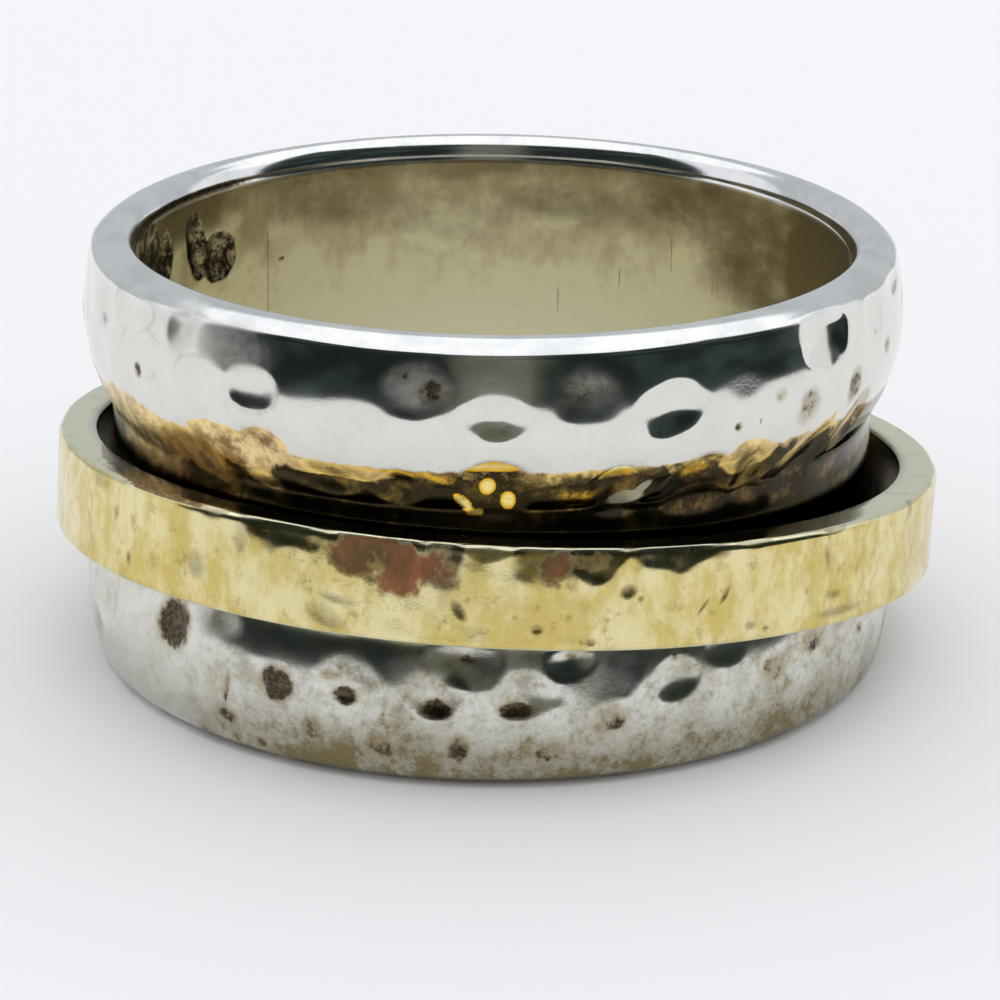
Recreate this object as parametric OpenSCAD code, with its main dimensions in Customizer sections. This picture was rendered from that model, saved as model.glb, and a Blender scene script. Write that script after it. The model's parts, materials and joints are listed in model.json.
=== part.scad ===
// Spinner ring: a hammered silver band with a loose gold hoop that turns in its waist.
// Z is the axis of the finger bore. The ring stands on its lower lip at z = 0, and -Y is the front.

/* [Band] */
// Diameter of the finger bore
bore_d = 17.3; // [15:0.1:21]
// Wall at the fullest part of each rail
rail_wall = 1.32; // [1.26:0.02:1.6]
// Wall at the waist between the rails
waist_wall = 0.64; // [0.5:0.02:0.7]
// Height of a rail's fullest part above the band's end
rail_belly_z = 1.9; // [1.7:0.05:2.4]
// Radius of the rail's curve from its fullest part out to the lip
rail_end_curve = 5.8; // [5:0.1:8]
// Radius of the rail's curve from its fullest part in to the waist
rail_waist_curve = 3.7; // [3.4:0.1:5]
// Radius that rounds the lip over into the bore
lip_inner_r = 0.43; // [0.3:0.01:0.6]
// Radius that blends each rail into the waist
waist_fillet = 0.4; // [0.2:0.05:0.6]

/* [Spinner] */
// Height of the hoop along the finger
spinner_h = 2.36; // [1.8:0.02:3]
// Wall of the hoop
spinner_wall = 0.94; // [0.7:0.02:1.4]
// How far each rail stands past the hoop's inner face, which keeps the hoop on
spinner_catch = 0.05; // [0.04:0.01:0.1]
// How far the hoop can slide along the finger between the two rails
spinner_play = 3.2; // [2.8:0.02:4]
// Rounding of the hoop's edges
spinner_edge = 0.12; // [0.05:0.01:0.2]

/* [Spinner at rest] */
// Degrees that the loose hoop tips up at the front
tip_front = 5.4; // [4:0.1:5.6]
// Degrees that it tips up at the left
tip_left = 2.2; // [0:0.1:2.5]
// How far it lies to the right of the band's axis
lie_right = 0.14; // [0:0.01:0.15]
// How far it lies to the back of the band's axis
lie_back = 0.36; // [0.3:0.01:0.38]
// Clearance above the rail that it rests on
seat_gap = 0.12; // [0.08:0.01:0.15]

/* [Hammering] */
// Radius of the round hammer face that dents the rails
hammer_r = 4.5; // [3.5:0.1:8]
// Width of a full rail dent
dent_w = 1.4; // [1:0.05:1.7]
// Rail dents in each ruled row, counted for the whole way round
dents_round = 33; // [24:1:40]
// Radius of the flatter hammer face that dents the hoop
planish_r = 14; // [10:0.5:20]
// Depth of a hoop dent
planish_depth = 0.02; // [0.01:0.005:0.04]
// Number of hoop dents
planish_round = 26; // [16:1:36]

/* [Hidden] */
silver = "#c9c6bf";
pale_gold = "#d9bd78";
turn_fn = 180;
ball_fn = 72;
planish_fn = 144;
spare = 1;

bore_r = bore_d / 2;
belly_r = bore_r + rail_wall;
waist_r = bore_r + waist_wall;
crest_r = bore_r + lip_inner_r;
lip_outer_r = rail_wall - lip_inner_r;
spinner_in_r = belly_r - spinner_catch;
spinner_out_r = spinner_in_r + spinner_wall;

// Height above the band's end at which a rail has curved in to radius r
function shoulder_z(r) =
    rail_belly_z + sqrt(pow(rail_waist_curve, 2) - pow(rail_waist_curve - belly_r + r, 2));

rail_h = shoulder_z(waist_r);

// Middle of the hollow blend into the waist, and the height at which it takes over from the rail's curve
blend_r = waist_r + waist_fillet;
shoulder_r = belly_r - rail_waist_curve;
blend_z = rail_belly_z + sqrt(pow(rail_waist_curve + waist_fillet, 2) - pow(blend_r - shoulder_r, 2));
meet_share = rail_waist_curve / (rail_waist_curve + waist_fillet);
meet_z = rail_belly_z + meet_share * (blend_z - rail_belly_z);

band_h = 2 * shoulder_z(spinner_in_r) + spinner_h + spinner_play;

// Where the hoop's lower inner edge is at angle a, with the hoop's middle at height 0
function edge_x(a) =
    lie_right + spinner_in_r * cos(a) * cos(tip_left) - spinner_h / 2 * sin(tip_left);
function edge_drop(a) =
    -spinner_in_r * cos(a) * sin(tip_left) - spinner_h / 2 * cos(tip_left);
function edge_y(a) =
    lie_back + spinner_in_r * sin(a) * cos(tip_front) + edge_drop(a) * sin(tip_front);
function edge_z(a) =
    edge_drop(a) * cos(tip_front) - spinner_in_r * sin(a) * sin(tip_front);

// Height of the hoop's middle at which that edge clears the lower rail at angle a
function lift(a) =
    let (reach = norm([edge_x(a), edge_y(a)]))
    reach < belly_r ? shoulder_z(reach) - edge_z(a) : 0;

edge_step = 3;
spinner_z = max([for (a = [0 : edge_step : 360]) lift(a)]) + seat_gap;

// Dents of the front, charted by eye: degrees round from +X, share of the rail's height, share of a full width
upper_dents = [
    [-144, 0.36, 1.0],
    [-135, 0.18, 0.9],
    [-132, 0.46, 1.0],
    [-122, 0.72, 0.9],
    [-122, 0.38, 0.9],
    [-100, 0.25, 1.1],
    [-90, 0.42, 1.1],
    [-77, 0.31, 1.1],
    [-66, 0.42, 1.2],
    [-49, 0.45, 0.8],
    [-43, 0.62, 0.8],
    [-39, 0.22, 0.9],
    [-32, 0.55, 0.8],
    [-26, 0.20, 0.9],
];
lower_dents = [
    [-138, 0.66, 1.0],
    [-128, 0.24, 0.8],
    [-119, 0.51, 1.0],
    [-109, 0.66, 1.0],
    [-104, 0.23, 0.8],
    [-97, 0.57, 1.2],
    [-94, 0.25, 0.8],
    [-85, 0.58, 1.2],
    [-75, 0.63, 1.3],
    [-73, 0.35, 0.8],
    [-64, 0.60, 1.0],
    [-56, 0.72, 0.8],
    [-48, 0.53, 0.9],
    [-40, 0.60, 0.9],
];
front_from = -150;
front_to = -22;
row_shares = [0.30, 0.56];
row_widths = [1.0, 0.85, 1.1, 0.9, 1.15];
planish_stagger = 0.08;

// Section of one rail, with its end at height 0: lip, swell and shoulder
module rail_section() {
    reach = belly_r + spare;
    difference() {
        union() {
            intersection() {
                translate([belly_r - rail_end_curve, rail_belly_z]) circle(r = rail_end_curve, $fn = turn_fn);
                translate([bore_r, 0]) square([reach - bore_r, rail_belly_z]);
            }
            intersection() {
                translate([shoulder_r, rail_belly_z]) circle(r = rail_waist_curve, $fn = turn_fn);
                translate([bore_r, rail_belly_z]) square([reach - bore_r, meet_z - rail_belly_z]);
            }
        }
        difference() {
            translate([bore_r - spare, -spare]) square([crest_r - bore_r + spare, lip_inner_r + spare]);
            translate([crest_r, lip_inner_r]) circle(r = lip_inner_r, $fn = turn_fn);
        }
        difference() {
            translate([crest_r, -spare]) square([reach - crest_r, lip_outer_r + spare]);
            translate([crest_r, lip_outer_r]) circle(r = lip_outer_r, $fn = turn_fn);
        }
    }
}

// Section of the hollow blend between a rail and the waist
module waist_blend() {
    inside_r = (bore_r + waist_r) / 2;
    difference() {
        translate([inside_r, meet_z]) square([blend_r - inside_r, blend_z - meet_z]);
        translate([blend_r, blend_z]) circle(r = waist_fillet, $fn = turn_fn);
    }
}

module band_section() {
    for (end = [0, 1]) {
        translate([0, end * band_h]) mirror([0, end]) {
            rail_section();
            waist_blend();
        }
    }
    translate([bore_r, lip_inner_r]) square([waist_r - bore_r, band_h - 2 * lip_inner_r]);
}

// Ball that leaves one dent on the lower rail, square to the rail's curve there
module rail_dent(angle, height_share, width_share) {
    from_belly = height_share * rail_h - rail_belly_z;
    curve = from_belly < 0 ? rail_end_curve : rail_waist_curve;
    slope = asin(from_belly / curve);
    width = width_share * dent_w;
    depth = pow(width, 2) / 8 * (1 / hammer_r + 1 / belly_r);
    away = curve + hammer_r - depth;
    rotate([0, 0, angle])
        translate([belly_r - curve + away * cos(slope), 0, rail_belly_z + away * sin(slope)])
            sphere(r = hammer_r, $fn = ball_fn);
}

// Dents of one rail: the charted front, then staggered rows round the back
module rail_dents(front, turned) {
    for (dent = front) rail_dent(dent[0], dent[1], dent[2]);
    step = 360 / dents_round;
    for (row = [0, 1]) {
        for (i = [0 : dents_round - 1]) {
            angle = front_to + (i + row / 2) * step + turned;
            if (angle < front_from + 360)
                rail_dent(angle, row_shares[row], row_widths[(i * 2 + row) % len(row_widths)]);
        }
    }
}

module band() {
    color(silver) difference() {
        rotate_extrude($fn = turn_fn) band_section();
        rail_dents(lower_dents, 0);
        translate([0, 0, band_h]) mirror([0, 0, 1]) rail_dents(upper_dents, 360 / dents_round / 4);
    }
}

// Section of the hoop round its own middle, with rounded edges
module spinner_section() {
    inner = spinner_in_r + spinner_edge;
    outer = spinner_out_r - spinner_edge;
    half = spinner_h / 2 - spinner_edge;
    translate([spinner_in_r, -half]) square([spinner_wall, 2 * half]);
    translate([inner, -spinner_h / 2]) square([outer - inner, spinner_h]);
    for (r = [inner, outer])
        for (z = [-half, half])
            translate([r, z]) circle(r = spinner_edge, $fn = turn_fn);
}

module spinner() {
    color(pale_gold)
        translate([lie_right, lie_back, spinner_z]) rotate([-tip_front, 0, 0]) rotate([0, tip_left, 0])
            difference() {
                rotate_extrude($fn = turn_fn) spinner_section();
                for (i = [0 : planish_round - 1])
                    rotate([0, 0, i * 360 / planish_round])
                        translate([
                            spinner_out_r + planish_r - planish_depth,
                            0,
                            (i % 3 - 1) * planish_stagger * spinner_h
                        ])
                            sphere(r = planish_r, $fn = planish_fn);
            }
}

band();
spinner();
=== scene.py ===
import json
import math

import bpy
import numpy as np
from mathutils import Matrix, Vector


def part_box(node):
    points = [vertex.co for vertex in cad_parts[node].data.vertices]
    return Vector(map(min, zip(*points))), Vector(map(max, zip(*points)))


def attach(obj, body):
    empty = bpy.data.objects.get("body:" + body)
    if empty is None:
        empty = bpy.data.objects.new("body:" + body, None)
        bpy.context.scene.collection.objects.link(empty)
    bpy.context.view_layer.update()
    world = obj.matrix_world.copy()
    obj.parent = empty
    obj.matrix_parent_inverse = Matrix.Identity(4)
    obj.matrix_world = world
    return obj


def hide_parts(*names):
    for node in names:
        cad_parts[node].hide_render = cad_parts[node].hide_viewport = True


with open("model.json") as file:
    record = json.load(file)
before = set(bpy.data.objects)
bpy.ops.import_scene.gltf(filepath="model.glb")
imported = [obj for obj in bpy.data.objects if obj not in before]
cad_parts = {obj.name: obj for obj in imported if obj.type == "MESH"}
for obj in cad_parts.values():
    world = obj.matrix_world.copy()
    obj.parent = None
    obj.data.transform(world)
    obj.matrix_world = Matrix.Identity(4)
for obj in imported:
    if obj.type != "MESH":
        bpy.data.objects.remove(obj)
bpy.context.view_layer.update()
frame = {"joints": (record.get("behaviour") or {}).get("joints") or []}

# The camera looks down a little on the standing ring, from close by.
# Its height, distance and turn are those that bring the two rims and the rails where the photograph has them.
# The lens and the shift are in widths of the picture.
mm = 0.001
band_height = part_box("band")[1].z
look_down = math.radians(18.58)
look_roll = math.radians(0.79)
look_distance = 91.2 * mm
look_lens = 3.689
look_shift = 0.0088, -0.0681
look_at = Vector((0, 0, band_height / 2))
to_camera = Vector((0, -math.cos(look_down), math.sin(look_down)))
level = Vector((1, 0, 0))
upright = Vector((0, math.sin(look_down), math.cos(look_down)))
right = level * math.cos(look_roll) + upright * math.sin(look_roll)
up = upright * math.cos(look_roll) - level * math.sin(look_roll)
camera_data = bpy.data.cameras.new("camera")
camera_data.lens = look_lens * camera_data.sensor_width
camera_data.shift_x, camera_data.shift_y = look_shift
camera_data.clip_start = 1 * mm
camera = bpy.data.objects.new("camera", camera_data)
turn = Matrix((right, up, to_camera)).transposed()
camera.matrix_world = Matrix.Translation(look_at + to_camera * look_distance) @ turn.to_4x4()
bpy.context.scene.collection.objects.link(camera)
bpy.context.scene.camera = camera
bpy.context.scene.view_settings.view_transform = "Standard"

# The band is one piece of silver: a wide tube turned down to a waist between two swollen rails.
# Its ends are rounded into lips and polished. The rails are dented all over with a round hammer.
# The bore is left satin from the mandrel. Blank punched marks sit where a hallmark would be.
bore_radius = 8.65 * mm
belly_radius = bore_radius + 1.32 * mm
waist_radius = bore_radius + 0.64 * mm
belly_height = 1.9 * mm
end_curve = 5.8 * mm
waist_curve = 3.7 * mm
lip_in = 0.43 * mm
lip_deep = 0.56 * mm
lip_out = belly_radius - bore_radius - lip_in
lip_corner = 0.3 * mm
blend_curve = 0.4 * mm
bore_wear = 0.03 * mm
marked_depth = 3.3 * mm
hair = 0.01 * mm


def arc(centre, radius, start, end, step, hollow=False, taller=1.0):
    """Points and outward normals along an arc of a section, in degrees from +r. taller makes it oval."""
    count = max(3, int(abs(math.radians(end - start)) * radius * taller / step) + 1)
    angles = np.radians(np.linspace(start, end, count))
    around = np.stack([np.cos(angles), np.sin(angles)], 1)
    points = np.array(centre) + radius * around * (1, taller)
    out = around * (taller, 1)
    out /= np.linalg.norm(out, axis=1)[:, None]
    return np.hstack([points, -out if hollow else out])


def straight(start, end, step, normal):
    """Points along a straight stretch of a section."""
    count = max(2, int(math.dist(start, end) / step) + 1)
    points = np.linspace(start, end, count)
    return np.hstack([points, np.tile(normal, (count, 1))])


def joined(*stretches):
    """One run of section points with the doubled ends dropped."""
    doubled = 0.004 * mm
    rows = np.vstack(stretches)
    gaps = np.linalg.norm(np.diff(rows[:, :2], axis=0), axis=1)
    return rows[np.insert(gaps > doubled, 0, True)]


def round_the_ring(*spans):
    """Angles round the ring from (start, end, count) spans, set closer where there are dents to show."""
    return np.radians(np.concatenate([np.linspace(a, b, count, endpoint=False) for a, b, count in spans]))


def revolve(name, section, angle, shape):
    """A closed mesh from a closed section, turned about Z. shape moves the points along their normals."""
    turns, rows = len(angle), len(section)
    around, row = np.meshgrid(angle, np.arange(rows), indexing="ij")
    radius, height, out, rise = (section[row, k] for k in range(4))
    depth = shape(around, radius, height, out, rise)
    radius, height = radius - depth * out, height - depth * rise
    points = np.stack([radius * np.cos(around), radius * np.sin(around), height], -1).reshape(-1, 3)
    i, j = np.meshgrid(np.arange(turns), np.arange(rows), indexing="ij")
    i2, j2 = (i + 1) % turns, (j + 1) % rows
    quads = np.stack([i * rows + j, i2 * rows + j, i2 * rows + j2, i * rows + j2], -1).reshape(-1, 4)
    mesh = bpy.data.meshes.new(name)
    mesh.vertices.add(len(points))
    mesh.vertices.foreach_set("co", points.astype(np.float32).ravel())
    mesh.loops.add(quads.size)
    mesh.loops.foreach_set("vertex_index", quads.astype(np.int32).ravel())
    mesh.polygons.add(len(quads))
    mesh.polygons.foreach_set("loop_start", np.arange(0, quads.size, 4, dtype=np.int32))
    mesh.update(calc_edges=True)
    mesh.validate()
    mesh.shade_smooth()
    piece = bpy.data.objects.new(name, mesh)
    bpy.context.scene.collection.objects.link(piece)
    return piece


def paint(piece, name, values):
    """Stores one value a point on the mesh, for the material to read."""
    layer = piece.data.attributes.new(name, "FLOAT", "POINT")
    layer.data.foreach_set("value", values.astype(np.float32).ravel())


lip_rise = math.degrees(math.asin((belly_height - lip_corner) / end_curve))
lip_in_centre = bore_radius + lip_in, lip_deep
lip_out_centre = bore_radius + lip_in, lip_out
lip_turn = math.degrees(math.asin((lip_out - lip_corner) / lip_out))
blend_r = waist_radius + blend_curve
waist_centre = (belly_radius - waist_curve, belly_height)
blend_z = belly_height + math.sqrt((waist_curve + blend_curve) ** 2 - (blend_r - waist_centre[0]) ** 2)
blend_turn = math.degrees(math.atan2(blend_z - belly_height, blend_r - waist_centre[0]))
middle = band_height / 2


def half_section(bore_step, rail_step, shoulder_step):
    """One end of the band, from the middle of the bore over the lip to the middle of the waist."""
    edge = bore_radius + bore_wear, lip_deep
    below_edge = bore_radius, lip_deep + bore_wear
    lip_curve = lip_in - bore_wear
    return joined(
        straight((bore_radius, middle), (bore_radius, marked_depth), step=0.6 * mm, normal=(-1, 0)),
        straight((bore_radius, marked_depth), below_edge, step=bore_step, normal=(-1, 0)),
        straight(below_edge, edge, step=bore_wear, normal=(-0.7, -0.7)),
        arc(lip_in_centre, lip_curve, 180, 270, step=0.07 * mm, taller=lip_deep / lip_curve),
        arc(lip_out_centre, lip_out, -90, -lip_turn, step=0.08 * mm),
        arc((belly_radius - end_curve, belly_height), end_curve, -lip_rise, 0, step=rail_step),
        arc(waist_centre, waist_curve, 0, blend_turn, step=shoulder_step),
        arc((blend_r, blend_z), blend_curve, 180 + blend_turn, 180, step=0.1 * mm, hollow=True),
        straight((waist_radius, blend_z), (waist_radius, middle), step=0.5 * mm, normal=(1, 0)),
    )


lower_half = half_section(bore_step=0.6 * mm, rail_step=0.09 * mm, shoulder_step=0.11 * mm)
upper_half = half_section(bore_step=0.1 * mm, rail_step=0.08 * mm, shoulder_step=0.085 * mm)
upper_half = upper_half[::-1] * (1, -1, 1, -1) + (0, band_height, 0, 0)
band_section = joined(lower_half, upper_half)[:-1]

# Dents of the front: degrees round from +X, height above the rail's own end, half width, half height
# and depth in mm, lean in degrees, how brown the bottom is, and 1 where the rim is crisp.
upper_dents = [
    (-147.4, 0.62, 0.95, 0.5, 0.02, 0, 0.0, 1),
    (-144.4, 1.5, 0.9, 0.6, 0.03, 0, 0.0, 1),
    (-145, 1.98, 0.2, 0.26, 0.03, -20, 0.8, 0),
    (-135.7, 0.55, 0.55, 0.75, 0.07, 30, 0.2, 0),
    (-131.4, 1.68, 0.95, 0.62, 0.03, 0, 0.0, 1),
    (-122.9, 1.55, 0.76, 0.55, 0.06, 0, 0.0, 1),
    (-99.8, 1.05, 0.92, 0.66, 0.035, 0, 0.0, 1),
    (-101.3, 0.70, 0.30, 0.30, 0.005, 0, 0.6, 0),
    (-97.7, 1.08, 0.42, 0.42, 0.005, 20, 0.7, 0),
    (-89.5, 1.68, 0.95, 0.62, 0.07, 0, 0.0, 0),
    (-89.6, 1.98, 0.45, 0.2, 0.01, 0, 0.5, 0),
    (-77.4, 1.2, 0.9, 0.78, 0.05, 0, 0.0, 0),
    (-79.2, 1.13, 0.5, 0.55, 0.005, 0, 0.6, 0),
    (-75.9, 1.0, 0.4, 0.35, 0.005, 40, 0.5, 0),
    (-66.4, 1.68, 1.05, 0.78, 0.14, -14, 0.0, 0),
    (-55.5, 1.4, 0.9, 0.6, 0.02, 0, 0.0, 0),
    (-49.2, 1.79, 0.28, 0.28, 0.02, 20, 0.5, 0),
    (-43.4, 2.25, 0.48, 0.58, 0.05, 20, 0.62, 0),
    (-56.2, 2.32, 0.14, 0.13, 0.03, 0, 0.9, 0),
    (-52.5, 2.28, 0.05, 0.12, 0.01, 20, 0.8, 0),
    (-39.6, 0.72, 0.95, 0.8, 0.15, 0, 0.0, 1),
    (-32.4, 2.2, 0.40, 0.55, 0.04, 23, 0.75, 0),
    (-26.5, 0.8, 0.6, 0.6, 0.07, 0, 0.0, 1),
    (-21.6, 1.76, 0.28, 0.28, 0.03, 0, 0.6, 0),
    (-15.8, 0.45, 0.7, 0.4, 0.07, 0, 0.0, 1),
    (-136.2, 3.5, 1.2, 0.75, 0.07, -20, 0.0, 1),
    (-128.5, 3.3, 0.7, 0.5, 0.06, -40, 0.0, 1),
    (-122.5, 2.98, 0.85, 0.68, 0.12, 0, 0.6, 0),
    (-122.6, 3.05, 0.25, 0.25, 0.02, 0, 1.0, 0),
    (-111.8, 3.45, 0.9, 0.5, 0.07, 0, 0.3, 0),
    (-102.2, 3.45, 0.8, 0.6, 0.10, 0, 0.5, 0),
    (-89.4, 3.45, 0.95, 0.8, 0.12, 0, 0.9, 1),
    (-72.4, 3.5, 0.9, 0.8, 0.11, 0, 0.4, 0),
    (-60.4, 3.7, 1.0, 0.85, 0.12, 0, 0.7, 1),
    (-51.7, 3.5, 0.85, 0.7, 0.10, 0, 0.5, 0),
    (-51.4, 3.6, 0.3, 0.25, 0.03, 0, 0.9, 0),
    (-41.0, 3.8, 1.2, 0.6, 0.14, -42, 0.8, 1),
    (-31.0, 3.2, 1.0, 0.45, 0.10, -42, 0.5, 1),
]
lower_dents = [
    (-138.2, 2.7, 0.8, 0.75, 0.08, 0, 1.0, 0),
    (-128.2, 3.15, 0.5, 0.3, 0.04, 0, 0.2, 0),
    (-127.3, 1.65, 0.12, 0.60, 0.03, -8, 0.7, 0),
    (-129.5, 1.75, 0.50, 0.55, 0.01, 0, 0.35, 0),
    (-122.1, 1.82, 1.3, 0.8, 0.05, 0, 0.1, 0),
    (-119.0, 2.07, 0.6, 0.56, 0.06, 0, 1.0, 0),
    (-108.8, 2.20, 0.95, 0.95, 0.07, 0, 0.1, 1),
    (-111.0, 2.55, 0.35, 0.15, 0.01, 0, 0.7, 0),
    (-93.0, 3.06, 1.0, 0.52, 0.13, 0, 0.1, 1),
    (-92.6, 3.15, 0.35, 0.16, 0.01, 0, 0.7, 0),
    (-78.5, 3.02, 0.72, 0.38, 0.11, 0, 0.1, 1),
    (-78.8, 3.20, 0.20, 0.12, 0.01, 0, 0.7, 0),
    (-108.9, 2.12, 0.4, 0.27, 0.06, 0, 1.0, 0),
    (-113.5, 1.18, 0.38, 0.42, 0.02, 0, 0.66, 0),
    (-104.1, 0.92, 0.52, 0.45, 0.02, 0, 0.66, 0),
    (-121.9, 0.47, 0.22, 0.18, 0.02, 0, 0.9, 0),
    (-127.5, 0.96, 0.42, 0.24, 0.03, -15, 0.7, 0),
    (-96.8, 2.34, 0.86, 0.66, 0.13, 0, 0.1, 0),
    (-96.7, 2.02, 0.52, 0.3, 0.05, 0, 1.0, 0),
    (-85.2, 2.38, 1.0, 0.66, 0.12, 0, 0.1, 0),
    (-86.3, 2.02, 0.54, 0.26, 0.05, 0, 1.0, 0),
    (-75.2, 2.62, 1.15, 0.72, 0.075, 20, 0.1, 1),
    (-64.4, 2.42, 0.62, 0.5, 0.12, 15, 0.0, 1),
    (-73.4, 1.66, 0.55, 0.55, 0.03, 0, 0.60, 0),
    (-93.7, 1.01, 0.36, 0.56, 0.03, 0, 0.75, 0),
    (-82.0, 0.97, 0.65, 0.42, 0.02, 20, 0.62, 0),
    (-56.5, 2.95, 0.6, 0.4, 0.08, 0, 0.0, 1),
    (-48.3, 2.14, 0.60, 0.46, 0.04, 0, 0.60, 0),
    (-40.7, 2.42, 0.58, 0.42, 0.04, 0, 0.66, 0),
    (-27.7, 2.05, 0.3, 0.2, 0.03, 0, 0.7, 0),
    (-58.2, 2.18, 0.3, 0.26, 0.02, 0, 0.3, 0),
    (-64.4, 2.96, 0.15, 0.15, 0.02, 0, 0.8, 0),
    (-158.0, 2.2, 0.9, 0.8, 0.05, 0, 0.3, 0),
    (-150.0, 1.2, 0.9, 0.8, 0.03, 0, 0.2, 0),
]

# Dull patches of the rails, and tan ones and painted gold reflections on the upper rail's shoulder, in the
# same columns.
upper_worn = [
    (-99.5, 1.01, 0.95, 0.64, 0, 0, 1.0, 0),
    (-77.5, 1.07, 0.98, 0.75, 0, 0, 0.5, 0),
    (-89.6, 0.80, 1.05, 0.45, 0, 0, 0.6, 0),
    (-125.5, 0.70, 1.35, 0.60, 0, 0, 1.0, 0),
    (-135.7, 0.55, 0.60, 0.80, 0, 30, 0.8, 0),
    (-47.0, 0.55, 0.80, 0.30, 0, 0, 0.4, 0),
    (-71.4, 3.82, 0.60, 0.20, 0, -8, 1.0, 0),
    (-69.2, 3.55, 0.35, 0.13, 0, -50, 1.0, 0),
]
lower_worn = [
    (-128.2, 3.15, 0.6, 0.4, 0, 0, 1.0, 0),
    (-100.0, 2.9, 0.8, 0.4, 0, 0, 0.5, 0),
    (-86.0, 2.9, 0.8, 0.4, 0, 0, 0.4, 0),
]
upper_tan = [
    (-150, 3.9, 3.2, 1.5, 0, 0, 0.95, 0),
    (-133.7, 3.8, 1.5, 0.7, 0, 20, 0.9, 0),
    (-122.0, 3.9, 0.8, 0.4, 0, 20, 0.7, 0),
    (-127.7, 3.05, 1.5, 0.60, 0, 8, 1.0, 0),
    (-121.4, 2.85, 0.85, 0.55, 0, 0, 1.0, 0),
    (-111.4, 3.20, 1.3, 0.22, 0, 0, 0.8, 0),
    (-53.2, 3.15, 0.8, 0.58, 0, 0, 1.0, 0),
    (-42, 3.3, 1.6, 0.30, 0, -30, 0.8, 0),
    (-33, 3.4, 1.3, 0.20, 0, -45, 0.6, 0),
]
# Painted reflection: gold patches on the silver shoulder, standing for the gold hoop and its glints seen in
# it.
upper_gold_reflections = [
    (-89.8, 2.82, 0.85, 0.17, 0, 0, 1.0, 0),
    (-90.4, 3.39, 0.22, 0.27, 0, 0, 1.3, 0),
    (-87.6, 3.76, 0.21, 0.26, 0, 0, 1.3, 0),
    (-93.6, 3.80, 0.40, 0.13, 0, 50, 1.3, 0),
    (-92.0, 4.05, 0.30, 0.07, 0, 12, 1.3, 0),
    (-105, 3.05, 2.4, 0.17, 0, 2, 0.45, 0),
    (-97.5, 3.12, 0.60, 0.14, 0, 20, 0.5, 0),
    (-78.5, 3.75, 0.80, 0.42, 0, 0, 0.40, 0),
    (-73.0, 3.06, 0.75, 0.24, 0, 0, 0.50, 0),
    (-61.9, 3.25, 0.60, 0.34, 0, 0, 0.45, 0),
]

# The bore's blank punches, a burr between two of them and two specks, and then its brown patches, partly
# stains and partly painted shade, in the same columns but with the height from the table. A scratch has its
# degrees, and its lower and upper end in mm.
bore_punches = [
    (145.0, 8.27, 0.68, 0.66, 0.16, 0, 1.0, 1),
    (151.2, 8.75, 0.42, 0.95, 0.18, -12, 1.0, 1),
    (148.7, 8.35, 0.12, 0.60, -0.08, -12, 0.0, 0),
    (163.0, 8.85, 0.60, 0.75, 0.16, 10, 1.0, 1),
    (169.0, 9.45, 0.65, 0.55, 0.14, 30, 1.0, 1),
    (175.0, 9.55, 0.55, 0.75, 0.14, -10, 1.0, 1),
    (130.1, 7.77, 0.12, 0.10, 0.01, 0, 0.7, 0),
    (120.2, 6.77, 0.14, 0.12, 0.01, 0, 0.8, 0),
]
# Partly stains and partly painted shade: the strong ones at 14 and 36 degrees paint the very dark right end
# of the bore.
bore_stains_and_shade = [
    (155, 9.6, 2.6, 0.8, 0, 0, 0.9, 0),
    (172, 8.6, 2.0, 2.0, 0, 0, 0.8, 0),
    (118, 9.1, 2.6, 0.8, 0, 0, 0.5, 0),
    (96, 9.9, 9, 0.6, 0, 0, 0.5, 0),
    (97, 8.4, 2.4, 0.7, 0, 0, 0.35, 0),
    (74, 8.9, 3.0, 0.8, 0, 0, 0.5, 0),
    (50, 9.3, 3.0, 1.2, 0, 0, 0.7, 0),
    (36, 8.2, 2.6, 2.2, 0, 0, 0.8, 0),
    (14, 8.6, 3.2, 3.4, 0, 0, 1.4, 0),
]
bore_scratches = ((133, 6.3, 8.7), (48.4, 6.9, 7.4), (57.2, 7.3, 8.4), (67.2, 6.6, 7.3), (78.4, 5.8, 6.6))
chance = np.random.default_rng(7)


def back_dents():
    """Rows of dents round the back of a rail, each blow a little off its place."""
    first, last, pitch, blows = -12, 205, 10.9, 21
    dents = []
    for height, shift in ((1.1, 0.0), (2.2, 0.5), (3.3, 0.0)):
        for k in range(blows):
            spot = first + (k + shift) * pitch + chance.uniform(-2, 2)
            if spot < last:
                size = chance.uniform(0.65, 1.0)
                lift = chance.uniform(-0.2, 0.2)
                squat = chance.uniform(0.7, 0.95)
                deep = chance.uniform(0.07, 0.12)
                lean = chance.uniform(-20, 20)
                stain = max(0, chance.uniform(-0.7, 0.6))
                crisp = chance.integers(2)
                if crisp:
                    stain = stain * 0.4
                dents.append((spot, height + lift, size, size * squat, size * deep, lean, stain, crisp))
    return dents


def light_blows():
    """Wide shallow marks of the first hammering, all over a rail."""
    blows = 150
    return [
        (chance.uniform(-180, 180), chance.uniform(0.4, 3.9), chance.uniform(0.7, 1.3),
         chance.uniform(0.6, 1.1), chance.uniform(0.004, 0.016), chance.uniform(-90, 90), 0, 0)
        for _ in range(blows)
    ]


def ramp(values, start, length):
    """0 up to start, and from there a straight rise to 1 over length."""
    return np.clip((values - start) / length, 0, 1)


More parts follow.
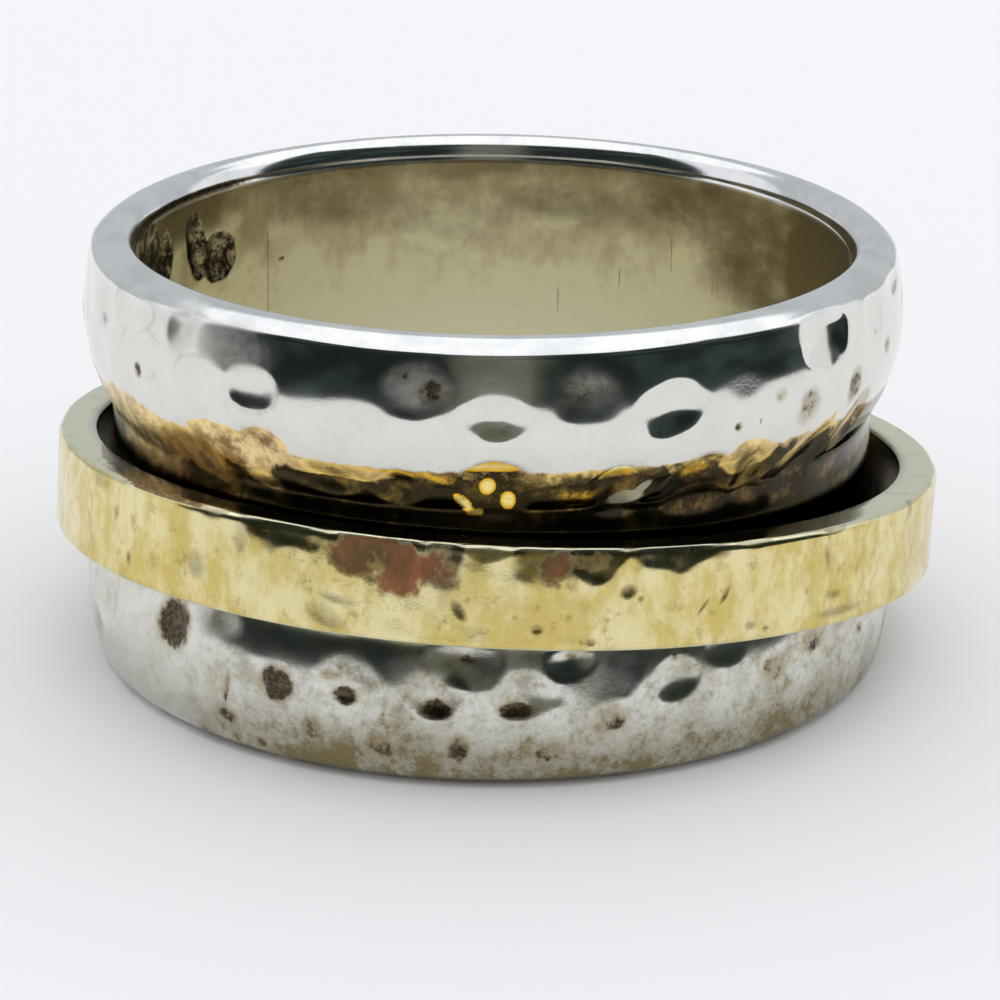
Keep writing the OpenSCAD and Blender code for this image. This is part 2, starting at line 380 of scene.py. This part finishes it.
def bowls(dents, around, height, radius, wander=0.08):
    """Depth of overlapping dents, how brown each point is, and the dirt line of each crisp rim.

    wander is how far an outline strays from a true oval. Crisp dents cut one another off at their edges.
    """
    sharp = 0.005
    margin = 1.6
    rim_width = 0.2
    pile, soft = np.ones_like(around), np.zeros_like(around)
    brown, rim = np.zeros_like(around), np.zeros_like(around)
    tall = height / mm
    uneven = 1 + wander * np.sin(53 * around + 2.1 * tall) * np.sin(19 * around - 6.7 * tall)
    for spot, rise, half_w, half_h, depth, lean, stain, crisp in dents:
        turn = (around - math.radians(spot) + np.pi) % (2 * np.pi) - np.pi
        x, y = turn * radius / mm, tall - rise
        reach = max(half_w, half_h) * margin
        near = (np.abs(x) < reach) & (np.abs(y) < reach)
        c, s = math.cos(math.radians(lean)), math.sin(math.radians(lean))
        u, v = (x[near] * c + y[near] * s) / half_w, (y[near] * c - x[near] * s) / half_h
        away = (u * u + v * v) * uneven[near]
        if crisp:
            pile[near] += np.exp(depth * (1 - away) / sharp)
            rim[near] = np.maximum(rim[near], 1 - ramp(np.abs(away - 1), 0, rim_width))
        else:
            soft[near] += depth * np.clip(1 - away, 0, 1) ** 2
        fade = 3 if crisp else 1
        brown[near] = np.maximum(brown[near], stain * np.clip((1.15 - away) * fade, 0, 1))
    return (sharp * np.log(pile) + soft) * mm, brown, rim


silver_marks = {}


def hammer_rails(around, radius, height, out, rise):
    """Depth of every dent on the two rails, fading out on the lips and in the waist. Notes what to paint."""
    depth = np.zeros_like(around)
    marks = silver_marks
    for name in ("brown", "rail", "rim", "worn", "tan", "gold_reflection", "shoulder", "punched"):
        marks[name] = np.zeros_like(around)
    low = lower_dents, lower_worn, [], [], 3.4, False
    high = upper_dents, upper_worn, upper_tan, upper_gold_reflections, 2.6, True
    for dents, worn, tan, gold_reflection, clean_to, upside_down in (low, high):
        from_end = band_height - height if upside_down else height
        rail = (out > 0.2) & (from_end < middle + hair)
        where = around[rail], from_end[rail], belly_radius
        from_lip = from_end[rail] / mm
        past_lip = ramp(from_lip, 0.2, 0.3)
        edge = past_lip * (1 - ramp(from_lip, 3.8, 0.5))
        blow, stain, rim = bowls(dents + back_dents(), *where)
        depth[rail] = (blow + bowls(light_blows(), *where)[0]) * edge
        marks["brown"][rail] = stain
        marks["rim"][rail] = rim * edge
        marks["rail"][rail] = past_lip
        for name, patches in (("worn", worn), ("tan", tan), ("gold_reflection", gold_reflection)):
            marks[name][rail] = bowls(patches, *where)[1]
        shoulder = ramp(from_lip, clean_to, 1.6)
        tongues = 0.4 * stain * ramp(from_lip, clean_to - 0.3, 0.4)
        lumps = 0.45 * marks["tan"][rail]
        marks["shoulder"][rail] = np.maximum(np.maximum(shoulder, tongues), lumps)
    # Painted shade: the chamfer at the top of the bore is painted brown round 162 degrees, along the dark
    # band that reaches it from the back.
    corner = (out < -0.5) & (height > middle) & (radius < bore_radius + 2 * bore_wear)
    painted_shade_at = 162
    marks["brown"][corner] = 1 - ramp(np.abs(np.degrees(around[corner]) - painted_shade_at), 21, 7)
    bore = (out < -0.9) & (np.abs(height - middle) < middle - lip_deep - hair)
    where = around[bore], height[bore], bore_radius
    depth[bore], marks["punched"][bore] = bowls(bore_punches, *where)[:2]
    marks["brown"][bore] = bowls(bore_stains_and_shade, *where)[1]
    marks["bore"] = bore.astype(float)
    # Painted shade: the outside is painted darker over its lowest 1.7 mm, for the shaded table that it
    # reflects there.
    marks["foot_shade"] = (1 - ramp(height, 0, 1.7 * mm)) * (out > -0.5)
    marks["deep"] = 1 - height / band_height
    marks["lower"] = (height < middle) * (out > -0.5)
    return depth


spans = (-168, -12, 400), (-12, 116, 60), (116, 181, 104), (181, 192, 6)
band = revolve("silver_band", band_section, round_the_ring(*spans), hammer_rails)
for mark, values in silver_marks.items():
    paint(band, mark, values)


class Wire:
    """A shader socket. An expression on it adds its Math nodes."""

    def __init__(self, tree, socket=None):
        self.tree, self.socket = tree, socket

    def node(self, kind, settings=None, sockets=None, out=0):
        """A new node with these settings, and with values or wires in its sockets."""
        made = self.tree.nodes.new(kind)
        for name, value in (settings or {}).items():
            setattr(made, name, value)
        for name, value in (sockets or {}).items():
            if isinstance(value, Wire):
                self.tree.links.new(value.socket, made.inputs[name])
            else:
                made.inputs[name].default_value = value
        return Wire(self.tree, made.outputs[out])

    def math(self, operation, first, second=0.0, clamp=False):
        settings = {"operation": operation, "use_clamp": clamp}
        return self.node("ShaderNodeMath", settings, {0: first, 1: second})

    def __add__(self, other):
        return self.math("ADD", self, other)

    def __sub__(self, other):
        return self.math("SUBTRACT", self, other)

    def __rsub__(self, other):
        return self.math("SUBTRACT", other, self)

    def __mul__(self, other):
        return self.math("MULTIPLY", self, other)

    __radd__ = __add__
    __rmul__ = __mul__

    def apart(self, value):
        """How far this is from a value."""
        return self.math("ABSOLUTE", self - value)

    def held(self):
        """The value kept between 0 and 1."""
        return self.math("ADD", self, 0.0, clamp=True)

    def step(self, low, high):
        """A soft step from 0 at low to 1 at high."""
        return self.node("ShaderNodeMapRange", {"interpolation_type": "SMOOTHSTEP"},
                         {"Value": self, "From Min": low, "From Max": high})

    def mix(self, first, second):
        """first where this is 0 and second where it is 1, for colours."""
        return self.node("ShaderNodeMix", {"data_type": "RGBA", "clamp_factor": True},
                         {0: self, 6: first, 7: second}, out=2)

    def stretched(self, scale):
        """A place vector drawn out by scale along X, Y and Z."""
        return self.node("ShaderNodeVectorMath", {"operation": "MULTIPLY"}, {0: self, 1: scale})

    def noise(self, scale, detail=3.0, rough=0.55):
        """Cloudy noise at this place, with scale clouds to the millimetre."""
        sockets = {"Vector": self, "Scale": scale, "Detail": detail, "Roughness": rough}
        return self.node("ShaderNodeTexNoise", {}, sockets)

    def part(self, axis):
        """One coordinate of a place."""
        return self.node("ShaderNodeSeparateXYZ", {}, {0: self}, out="XYZ".index(axis))

    def mark(self, name):
        """A value painted on the mesh."""
        return self.node("ShaderNodeAttribute", {"attribute_name": name}, out=2)

    def bumped(self, strength, height):
        """The normal of a surface that this raises."""
        sockets = {"Strength": strength, "Distance": height, "Height": self}
        return self.node("ShaderNodeBump", {}, sockets)


def surface(name, metallic):
    """An empty material, its shader and the place on it in millimetres."""
    material = bpy.data.materials.new(name)
    material.use_nodes = True
    tree = material.node_tree
    shader = tree.nodes["Principled BSDF"]
    shader.inputs["Metallic"].default_value = metallic
    start = Wire(tree)
    place = start.node("ShaderNodeTexCoord", out=3).stretched((1 / mm, 1 / mm, 1 / mm))
    return material, shader, place


def plug(wire, shader, socket):
    """Leads a value or a colour into one of the shader's sockets."""
    wire.tree.links.new(wire.socket, shader.inputs[socket])


silver, shader, place = surface("silver", 1.0)
names = "brown", "rail", "rim", "worn", "tan", "gold_reflection"
brown, rail, rim, worn, tan, gold_reflection = (place.mark(name) for name in names)
names = "shoulder", "bore", "punched", "foot_shade", "deep", "lower"
shoulder, bore, punched, foot_shade, deep, lower = (place.mark(name) for name in names)
cloud = place.noise(0.9, 4).step(0.40, 0.66)
speckle = place.noise(5.5, 5, 0.7).step(0.48, 0.70)
grain = place.noise(5, 5, 0.7).step(0.30, 0.70)

# Polished outside: bright lips, warmer rails, dirt in the dents and rims, and grey-brown mottling low down.
# The lowest part by the table is painted darker as well: painted shade, for the shaded table seen in it.
pits = (brown * 1.25 + place.noise(3.2, 6, 0.7) * 1.8 - 1.52).step(0.0, 0.4)
flecks = place.noise(9, 5, 0.75).step(0.42, 0.60)
smudge = (brown * 1.1 + place.noise(2.2, 5, 0.7) - 0.62).step(0.0, 0.7)
blotch = place.noise(1.7, 5, 0.7).step(0.46, 0.66)
side = place.part("X").apart(2).step(5.5, 11)
mottle_and_foot_shade = lower * (cloud * 0.20 + blotch * 0.30 + speckle * 0.16 + flecks * 0.10 + 0.04)
# Painted shade at the foot, on top of the real mottling.
mottle_and_foot_shade = mottle_and_foot_shade + foot_shade * (cloud * 0.14 + grain * 0.30 + 0.46)
film = rim * cloud * 0.35 + speckle * 0.07 + cloud * 0.05 + worn * 0.1
dirt_and_foot_shade = (mottle_and_foot_shade * (1.15 - side * 0.75) + film).held()
lip = cloud.mix((0.90, 0.91, 0.90, 1), (0.80, 0.82, 0.82, 1))
bright = rail.mix(lip, (0.775, 0.775, 0.715, 1))
soiled_and_foot_shade = (smudge * 0.7).mix(dirt_and_foot_shade.mix(bright, (0.27, 0.225, 0.115, 1)), (0.38, 0.30, 0.165, 1))
rust = flecks.mix((0.035, 0.028, 0.02, 1), (0.13, 0.095, 0.06, 1))
polish_and_foot_shade = (pits * 0.95).mix(soiled_and_foot_shade, rust)

# The shoulders and the waist are tarnished gold and tan, going dark brown where no cloth gets in.
# A few spots there are painted bright gold, with deeper gold round them: a painted reflection of the gold
# hoop, with painted glints.
ragged = shoulder + place.noise(2.5, 5, 0.65) * 0.2
neck = ragged.step(0.30, 0.36) * (1 - worn.step(0.4, 0.8) * shoulder)
crust = place.noise(2.2, 6, 0.75)
dark = (shoulder * 0.8 + crust * 0.8 + place.noise(0.7, 3) * 0.5 - tan * 0.70).step(0.74, 0.96)
warm = cloud.mix((0.95, 0.68, 0.22, 1), (0.70, 0.50, 0.24, 1))
flaky = crust.step(0.40, 0.60).mix((0.30, 0.20, 0.09, 1), (0.98, 0.76, 0.40, 1))
char = place.noise(1.1, 5, 0.7).step(0.48, 0.72).mix((0.035, 0.027, 0.016, 1), (0.24, 0.155, 0.055, 1))
aged = dark.mix((tan * 0.85).mix(warm, flaky), char)
# Painted reflection of the gold hoop: bright gold on the silver.
gold_reflection_spread = gold_reflection + crust * 0.8 - 0.4
painted_gold_reflection = gold_reflection_spread.step(0.7, 1.2).mix((0.95, 0.56, 0.05, 1), (1.0, 0.88, 0.42, 1))
tarnish_and_gold_reflection = gold_reflection_spread.step(0.25, 0.65).mix(aged, painted_gold_reflection)
outside = neck.mix(polish_and_foot_shade, tarnish_and_gold_reflection)

# Satin bore: drawn along the finger and cloudy, painted darker towards the top and lighter low down as
# painted shade, with brown patches that are partly stains and partly painted shade, darkest at the right.
drawn = place.stretched((2.5, 2.5, 0.3)).noise(1.4, 5, 0.6).step(0.25, 0.75)
azimuth = place.part("Y").math("ARCTAN2", place.part("Y"), place.part("X"))
haze = place.noise(0.45, 4, 0.6).step(0.35, 0.65)
smear = place.stretched((1, 1, 0.7)).noise(1.6, 5, 0.65).step(0.35, 0.65)
# Painted shade: the bore's colour darkens towards its top and lightens low down.
tone_and_shade = (deep + cloud * 0.08 + drawn * 0.06 + haze * 0.10 + smear * 0.08).step(0.14, 0.50)
satin_and_shade = tone_and_shade.mix((0.55, 0.46, 0.29, 1), (1.0, 0.96, 0.74, 1))
scratches = 0.0
scratch_sharp = 300
for degrees, low, high in bore_scratches:
    line = (1 - azimuth.apart(math.radians(degrees)) * scratch_sharp).held()
    span = place.part("Z").step(low, low + 0.2) * (1 - place.part("Z").step(high - 0.2, high))
    scratches = line * span + scratches
patchy = (brown + place.stretched((1, 1, 1.5)).noise(0.8, 5, 0.65) - 0.5).step(0.05, 1.0)
# Brown patches: partly stains, partly painted shade.
stained_and_shaded = patchy.mix(satin_and_shade, (0.25, 0.20, 0.12, 1))
struck = punched.step(0.1, 0.6)
chips = place.noise(2.6, 5, 0.7).step(0.46, 0.62)
struck_in = chips.mix((0.03, 0.025, 0.015, 1), (0.45, 0.38, 0.26, 1))
inside = (struck + scratches * 0.6).held().mix(stained_and_shaded, struck_in)

plug(bore.mix(outside, inside), shader, "Base Color")
polished = pits * 0.1 + worn * (grain * 0.1 + 0.2) + lower * 0.06 + dirt_and_foot_shade * 0.15 + (1 - rail) * 0.03 + 0.09
dull = bore * (0.4 - punched * 0.25) + (1 - bore) * (polished + neck * (tan * 0.15 + crust * 0.05))
plug(dull.held(), shader, "Roughness")
skin = place.noise(14, 3) * 0.1 + (brown + lower * 0.3 + foot_shade * 0.7 + tan * 1.2) * grain * 0.4
fine = bore * (drawn * 0.4 + scratches + punched * grain * 2) + (1 - bore) * skin
plug(fine.bumped(strength=0.25, height=0.02 * mm), shader, "Normal")
band.data.materials.append(silver)
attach(band, "band")
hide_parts("band")

# The hoop is a flat strip of pale gold, soldered into a ring round the waist before the rails were raised.
# Its faces are filed flat and its edges just broken. A flat hammer has left shallow marks on the outside.
# It is loose: it lies tipped up at the front and the left, and turns on its own axis.
joint = frame["joints"][0]
hoop_axis = Vector(joint["axis"]).normalized()
hoop_centre = Vector(joint["pos_m"])
hoop_in = belly_radius - 0.05 * mm
hoop_out = hoop_in + 0.94 * mm
hoop_half = 1.18 * mm
hoop_edge = 0.09 * mm
worn_edge = 0.17 * mm
inner, outer, edge_z = hoop_in + hoop_edge, hoop_out - hoop_edge, hoop_half - hoop_edge
worn_r, worn_z = hoop_out - worn_edge, hoop_half - worn_edge
hoop_section = joined(
    straight((hoop_out, -edge_z), (hoop_out, worn_z), step=0.06 * mm, normal=(1, 0)),
    arc((worn_r, worn_z), worn_edge, 0, 90, step=0.035 * mm),
    straight((worn_r, hoop_half), (inner, hoop_half), step=0.15 * mm, normal=(0, 1)),
    arc((inner, edge_z), hoop_edge, 90, 180, step=0.05 * mm),
    straight((hoop_in, edge_z), (hoop_in, -edge_z), step=0.4 * mm, normal=(-1, 0)),
    arc((inner, -edge_z), hoop_edge, 180, 270, step=0.05 * mm),
    straight((inner, -hoop_half), (outer, -hoop_half), step=0.19 * mm, normal=(0, -1)),
    arc((outer, -edge_z), hoop_edge, 270, 360, step=0.03 * mm),
)[:-1]

# Blows that caught the hoop's upper edge, and its pits and stains, in the same columns as the rail dents.
edge_blows = [
    (-127.0, 1.35, 0.65, 0.40, 0.06, 0, 0.4, 1),
    (-116.6, 1.40, 1.35, 0.85, 0.09, 0, 0.3, 1),
    (-106.0, 1.35, 1.00, 1.30, 0.10, 0, 0.0, 1),
    (-101.1, 1.35, 0.62, 1.25, 0.10, 0, 0.0, 1),
    (-96.4, 1.30, 0.52, 1.35, 0.09, 0, 0.5, 1),
    (-91.0, 1.30, 0.80, 0.45, 0.07, 0, 0.2, 1),
    (-85.9, 1.30, 0.50, 1.00, 0.08, 0, 0.3, 1),
    (-83.0, 1.30, 0.55, 0.95, 0.08, 0, 0.0, 1),
    (-78.6, 1.35, 0.90, 0.95, 0.09, 0, 0.5, 1),
    (-68.3, 1.40, 1.35, 0.75, 0.11, 0, 0.6, 1),
    (-57.8, 1.35, 0.60, 0.35, 0.06, 0, 0.4, 1),
    (-44.2, 1.35, 0.50, 0.30, 0.06, 0, 0.4, 1),
]
copper_spots = [
    (-105.5, 0.75, 1.20, 0.75, 0, 0, 1.0, 0),
    (-101.1, 0.55, 0.85, 0.80, 0, 0, 1.1, 0),
    (-83.5, 0.75, 0.60, 0.55, 0, 0, 1.0, 0),
    (-78.6, 0.90, 0.60, 0.40, 0, 0, 0.6, 0),
    (-97.0, 0.60, 0.60, 0.70, 0, 0, 0.6, 0),
]
hoop_pits = [
    (-94.2, -0.31, 0.14, 0.30, 0.02, 35, 0.9, 0),
    (-74.2, 0.19, 0.22, 0.16, 0.02, 10, 0.9, 0),
    (-72.6, 0.02, 0.1, 0.08, 0.01, 0, 0.7, 0),
    (-84.9, -0.66, 0.18, 0.13, 0.02, 0, 0.5, 0),
    (-78.5, -0.97, 0.14, 0.09, 0.01, 0, 0.7, 0),
    (-144.6, 0.36, 0.12, 0.2, 0.01, 0, 0.5, 0),
    (-141.5, -0.61, 0.1, 0.16, 0.01, 0, 0.7, 0),
    (-128.8, -0.22, 0.30, 0.40, 0.01, 0, 0.45, 0),
    (-110.3, -0.78, 0.50, 0.30, 0.005, -30, 0.4, 0),
    (-122.1, 0.55, 0.20, 0.35, 0.005, 0, 0.35, 0),
    (-149.0, 0.90, 0.45, 0.22, 0.005, 0, 0.4, 0),
    (-61.6, -0.01, 0.07, 0.28, 0.02, -30, 0.8, 0),
    (-64.4, -0.23, 0.04, 0.28, 0.01, -38, 0.9, 0),
    (-45.7, 0.54, 0.1, 0.36, 0.01, 15, 0.5, 0),
    (-44.0, -0.42, 0.3, 0.12, 0.01, 0, 0.6, 0),
    (-42.5, -0.85, 1.0, 0.13, 0.02, 0, 0.5, 0),
    (-57.6, -0.79, 0.17, 0.1, 0.01, 0, 0.6, 0),
    (-55.3, -0.91, 0.12, 0.07, 0.01, 0, 0.7, 0),
    (-26.1, 1.02, 0.2, 0.24, 0.02, 0, 0.4, 0),
]
gold_marks = {}


def flatten_hoop(around, radius, height, out, rise):
    """Upright flats of the hammer round the hoop's outside, and the marks charted from the photograph."""
    broad_flats, small_marks, pitch = 34, 80, 10.6
    flats = []
    for k in range(broad_flats):
        flats.append((k * pitch + chance.uniform(-2, 2), chance.uniform(-0.5, 0.5), chance.uniform(1.0, 1.3),
                      chance.uniform(2.0, 3.0), chance.uniform(0.018, 0.03), chance.uniform(-10, 10), 0, 1))
    for _ in range(small_marks):
        flats.append((chance.uniform(-180, 180), chance.uniform(-1.2, 1.2), chance.uniform(0.3, 0.7),
                      chance.uniform(0.3, 0.7), chance.uniform(0.003, 0.01), 0, 0, 0))
    face = out > 0.3
    marks = gold_marks
    depth = np.zeros_like(around)
    for name in ("brown", "copper", "seam"):
        marks[name] = np.zeros_like(around)
    where = around[face], height[face], hoop_out
    hammered = bowls(flats + edge_blows + hoop_pits, *where, wander=0.24)
    depth[face], marks["brown"][face], marks["seam"][face] = hammered
    marks["copper"][face] = bowls(copper_spots, *where, wander=0.24)[1]
    marks["filed"] = np.abs(rise)
    # The inner wall, facing the waist, is painted near black: partly dirt, partly painted shade in the narrow
    # gap between hoop and band.
    marks["inner_wall_dirt_and_shade"] = 1 - ramp(radius, hoop_in + 0.02 * mm, 0.1 * mm)
    turn = np.degrees(np.arctan2(np.sin(around), np.cos(around)))
    left = (1 - ramp(turn, -132, 8)) * ramp(turn, -166, 6)
    width = np.interp(turn, (-166, -138), (0.2 * mm, 1.2 * mm))
    fade = 0.3 * mm
    crust = (1 - ramp(radius, hoop_in + width - fade, fade)) * left * (rise > 0.5)
    marks["inside"] = np.maximum(marks["inner_wall_dirt_and_shade"] * 0.6, crust)
    return depth * np.clip(out, 0, 1)


spans = (-168, -12, 720), (-12, 192, 300)
hoop = revolve("gold_spinner", hoop_section, round_the_ring(*spans), flatten_hoop)
for mark, values in gold_marks.items():
    paint(hoop, mark, values)
tip_left = math.asin(hoop_axis.x)
tip_front = math.atan2(hoop_axis.y, hoop_axis.z)
tipped = Matrix.Rotation(-tip_front, 4, "X") @ Matrix.Rotation(tip_left, 4, "Y")
hoop.data.transform(Matrix.Translation(hoop_centre) @ tipped)

gold, shader, place = surface("gold", 1.0)
names = "brown", "copper", "filed", "inside", "inner_wall_dirt_and_shade", "seam"
brown, copper, filed, inside, inner_wall_dirt_and_shade, seam = (place.mark(name) for name in names)
cloud = place.stretched((1, 1, 0.6)).noise(1.0, 5, 0.65).step(0.38, 0.62)
blotch = place.noise(2.4, 5, 0.7).step(0.54, 0.70)
streak = place.stretched((3.5, 3.5, 0.8)).noise(1.0, 4, 0.6)
grain = place.noise(9, 4, 0.7).step(0.35, 0.65)
yellow = cloud.mix((0.66, 0.53, 0.17, 1), (0.84, 0.74, 0.40, 1))
pale = filed.step(0.3, 0.9).mix(yellow, (0.88, 0.86, 0.62, 1))
side = place.part("X").apart(0).step(4, 9.5)
dulled = (blotch * 0.4 + seam * side * streak * 0.6).held().mix(pale, (0.40, 0.29, 0.09, 1))
flush = (copper * 1.2 + place.noise(1.7, 4, 0.6) * 2.8 - 1.85).step(0.0, 0.6) * copper.step(0.0, 0.15)
coppery = flush.mix(dulled, cloud.mix((0.15, 0.09, 0.03, 1), (0.34, 0.13, 0.05, 1)))
plug(1 - flush * 0.55, shader, "Metallic")
# Crust at the left of the top face, and on the inner wall partly dirt, partly painted shade.
crust = (inside * 1.6 + place.noise(2.2, 5, 0.7) * 2 - 1.8).step(0.0, 0.4)
caked_and_wall_shade = (crust * 0.9).mix(coppery, grain.mix((0.08, 0.05, 0.015, 1), (0.42, 0.27, 0.09, 1)))
# Painted shade and dirt: the inner wall goes near black.
crusted_and_wall_shade = (inner_wall_dirt_and_shade * (grain * 0.2 + 0.7)).mix(caked_and_wall_shade, (0.05, 0.04, 0.018, 1))
stains = (brown * (grain * 0.3 + 0.7)).held()
plug(stains.mix(crusted_and_wall_shade, (0.10, 0.06, 0.03, 1)), shader, "Base Color")
plug((brown * 0.1 + flush * 0.30 + blotch * 0.12 + streak * 0.12 + 0.1).held(), shader, "Roughness")
fine = streak * 0.4 + grain * 0.15 + blotch * 0.15
plug(fine.bumped(strength=0.2, height=0.02 * mm), shader, "Normal")
hoop.data.materials.append(gold)
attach(hoop, "spinner")
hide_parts("spinner")

# The stage is a pale table, with cards that only reflections see.
# A dark one in front gives the polished rails their dark bands, and has a dimmer strip in its middle.
# A grey one behind greys the tops of the lips and of the hoop.
table_mesh = bpy.data.meshes.new("table")
reach = 2.0
table_corners = [(-reach, -reach, 0), (reach, -reach, 0), (reach, reach, 0), (-reach, reach, 0)]
table_mesh.from_pydata(table_corners, [], [(0, 1, 2, 3)])
table = bpy.data.objects.new("table", table_mesh)
table.location.z = -hair
bpy.context.scene.collection.objects.link(table)


def matt(name):
    """A matt paper, its shader and the place on it."""
    made, shader, place = surface(name, 0.0)
    shader.inputs["Roughness"].default_value = 0.9
    shader.inputs["Specular IOR Level"].default_value = 0.1
    return made, shader, place


def curved_card(name, radius, height, start, end, paper):
    """A card that stands in an arc round the ring, for reflections alone."""
    panels = 59
    steps = np.radians(np.linspace(start, end, panels + 1))
    corners = [(radius * math.cos(a), radius * math.sin(a), z) for a in steps for z in (0, height)]
    faces = [(2 * k, 2 * k + 2, 2 * k + 3, 2 * k + 1) for k in range(panels)]
    mesh = bpy.data.meshes.new(name)
    mesh.from_pydata(corners, [], faces)
    mesh.materials.append(paper)
    made = bpy.data.objects.new(name, mesh)
    bpy.context.scene.collection.objects.link(made)
    made.visible_camera = False
    made.visible_diffuse = False
    made.visible_shadow = False


white_paper, shader, place = matt("white_table")
shader.inputs["Base Color"].default_value = 0.93, 0.93, 0.93, 1
table_mesh.materials.append(white_paper)
grey_paper, shader, place = matt("grey_paper")
shader.inputs["Base Color"].default_value = 0.58, 0.6, 0.6, 1
dark_paper, shader, place = matt("dark_paper")
strip = place.part("X").step(-16, -6) * (1 - place.part("X").step(8, 18))
murk = place.noise(0.06, 3).step(0.45, 0.65)
shade = murk.mix((0.011, 0.017, 0.015, 1), (0.042, 0.062, 0.052, 1))
plug((strip * (murk * 0.4 + 0.6)).mix(shade, (0.185, 0.185, 0.145, 1)), shader, "Base Color")
curved_card("dark_card", radius=58 * mm, height=92 * mm, start=-168, end=0, paper=dark_paper)
curved_card("grey_card", radius=150 * mm, height=150 * mm, start=30, end=160, paper=grey_paper)

# Soft white light comes from the room all round, and from one wide lamp above the ring.
world = bpy.data.worlds.new("soft_room")
bpy.context.scene.world = world
world.use_nodes = True
glow = world.node_tree.nodes["Background"]
glow.inputs["Color"].default_value = 0.95, 0.96, 1.0, 1
glow.inputs["Strength"].default_value = 0.89
lamp = bpy.data.lights.new("top_light", "AREA")
lamp.size = 0.9
lamp.energy = 0.65
softbox = bpy.data.objects.new("top_light", lamp)
softbox.location = 0.05, 0.05, 0.45
softbox.rotation_euler = (look_at - softbox.location).to_track_quat("-Z", "Y").to_euler()
bpy.context.scene.collection.objects.link(softbox)
